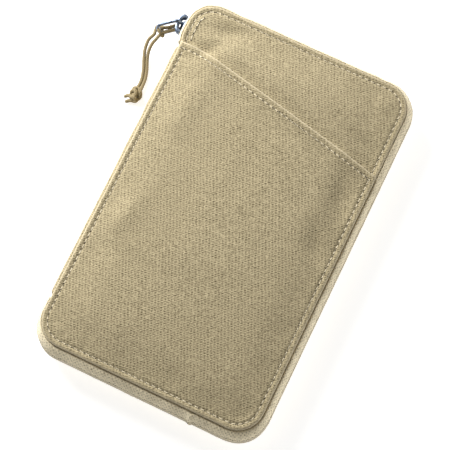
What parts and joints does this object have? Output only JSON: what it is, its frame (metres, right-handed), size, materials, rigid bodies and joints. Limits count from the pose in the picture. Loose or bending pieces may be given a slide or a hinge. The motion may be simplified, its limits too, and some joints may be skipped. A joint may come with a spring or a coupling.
{
  "type": "travel wallet",
  "caption": "Flat zip-around travel wallet that opens like a book, with a slanted outer slip pocket, inner sleeves and a zip slider with a knotted cord pull.",
  "frame": {"origin": "centre of the back panel's outer face, on the surface that the closed wallet lies on", "axes": "+Z out of the front panel, +Y towards the top edge along the wallet's length, +X from the spine towards the opening side"},
  "size_m": [0.1488, 0.2084, 0.0222],
  "materials": {
    "canvas": "coarse woven canvas, matt",
    "plain_weave": "fine plain weave, matt",
    "lining": "thin smooth lining",
    "foam": "soft closed-cell foam sheet",
    "zip_nylon": "satin nylon coil",
    "slider_metal": "satin blue-grey",
    "cord": "braided cord"
  },
  "bodies": {
    "back_half": {"back_panel": "canvas", "back_padding": "foam", "back_lining": "lining", "back_gusset": "plain_weave", "back_zip_tape": "plain_weave", "back_zip_coil": "zip_nylon", "passport_sleeve": "lining", "passport_sleeve_binding": "plain_weave", "card_slot_1": "lining", "card_slot_2": "lining", "card_slot_3": "lining", "zip_top_stop": "slider_metal", "zip_bottom_stop": "slider_metal"},
    "spine": {"spine_panel": "canvas", "spine_lining": "lining"},
    "cover": {"front_panel": "canvas", "slip_pocket_panel": "canvas", "slip_pocket_hem": "canvas", "front_padding": "foam", "front_lining": "lining", "front_gusset": "plain_weave", "front_zip_tape": "plain_weave", "front_zip_coil": "zip_nylon", "document_sleeve": "lining", "document_sleeve_binding": "plain_weave"},
    "slider": {"slider_body": "slider_metal", "slider_bridge": "slider_metal"},
    "pull": {"pull_ring": "slider_metal", "cord_hitch": "cord", "cord_outer_strand": "cord", "cord_inner_strand": "cord", "cord_knot": "cord", "cord_long_tail": "cord", "cord_short_tail": "cord"}
  },
  "joints": [
    {"name": "spine_fold", "type": "hinge", "parent": "back_half", "child": "spine", "pos_m": [-0.064, 0, 0.0013], "axis": [0, -1, 0], "range_deg": [0, 90]},
    {"name": "cover_fold", "type": "hinge", "parent": "spine", "child": "cover", "pos_m": [-0.064, 0, 0.0209], "axis": [0, -1, 0], "range_deg": [0, 90]},
    {"name": "slider_run", "type": "hinge", "parent": "back_half", "child": "slider", "pos_m": [-0.0475, 0.0855, 0.0111], "axis": [0, 0, -1], "range_deg": [0, 84]},
    {"name": "pull_swing", "type": "hinge", "parent": "slider", "child": "pull", "pos_m": [-0.0686, 0.0855, 0.0111], "axis": [0, 0, -1], "range_deg": [0, 60]}
  ],
  "couplings": [
    {"joint": "spine_fold", "follows": "cover_fold", "ratio": 1},
    {"joint": "slider_run", "follows": "cover_fold", "ratio": 0.933}
  ]
}
